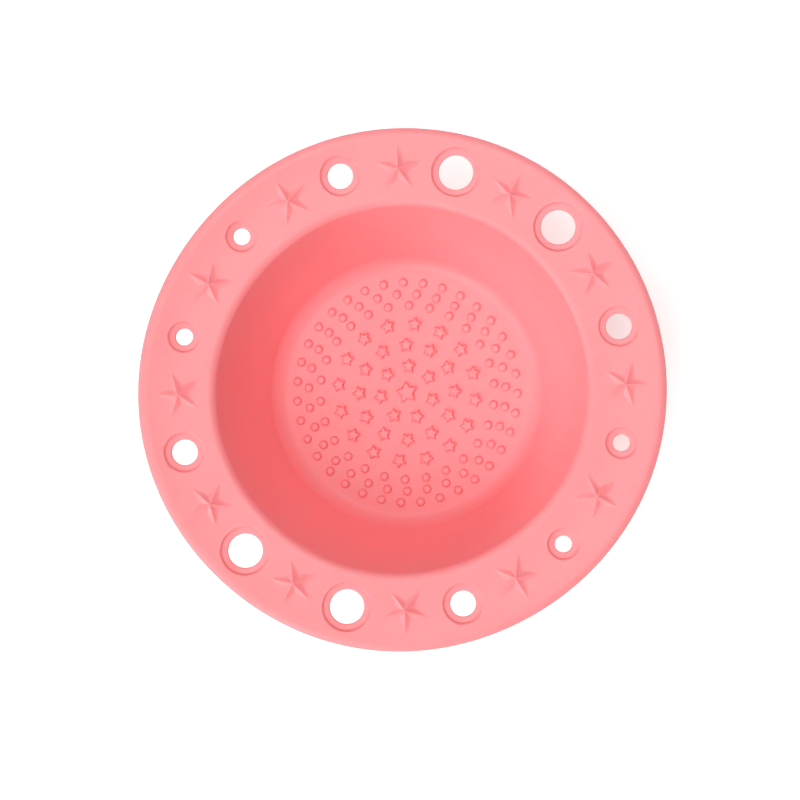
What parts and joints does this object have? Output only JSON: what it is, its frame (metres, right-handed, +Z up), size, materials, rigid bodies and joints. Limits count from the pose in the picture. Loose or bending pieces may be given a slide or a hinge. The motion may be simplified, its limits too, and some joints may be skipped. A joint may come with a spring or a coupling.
{
  "type": "brush cleaning bowl",
  "caption": "One-piece silicone bowl with raised stars and nubs on its floor for scrubbing make-up brushes, and a flat brim with holes that hold the brushes while they dry.",
  "frame": {"origin": "centre of the foot's underside, on the bowl's axis, on the surface that it stands on", "axes": "+Z up along the bowl's axis, out of its mouth; +X through the first star of the brim"},
  "size_m": [0.15, 0.15, 0.0433],
  "materials": {
    "silicone": "matte"
  },
  "bodies": {
    "root": {"bowl_wall": "silicone", "drying_brim": "silicone", "grip_web_01": "silicone", "grip_web_02": "silicone", "grip_web_03": "silicone", "grip_web_04": "silicone", "grip_web_05": "silicone", "grip_web_06": "silicone", "grip_web_07": "silicone", "grip_web_08": "silicone", "grip_web_09": "silicone", "grip_web_10": "silicone", "grip_web_11": "silicone", "grip_web_12": "silicone", "brim_star_01": "silicone", "brim_star_02": "silicone", "brim_star_03": "silicone", "brim_star_04": "silicone", "brim_star_05": "silicone", "brim_star_06": "silicone", "brim_star_07": "silicone", "brim_star_08": "silicone", "brim_star_09": "silicone", "brim_star_10": "silicone", "brim_star_11": "silicone", "brim_star_12": "silicone", "star_floor": "silicone", "nub_floor": "silicone", "foot_ring": "silicone"}
  },
  "joints": []
}
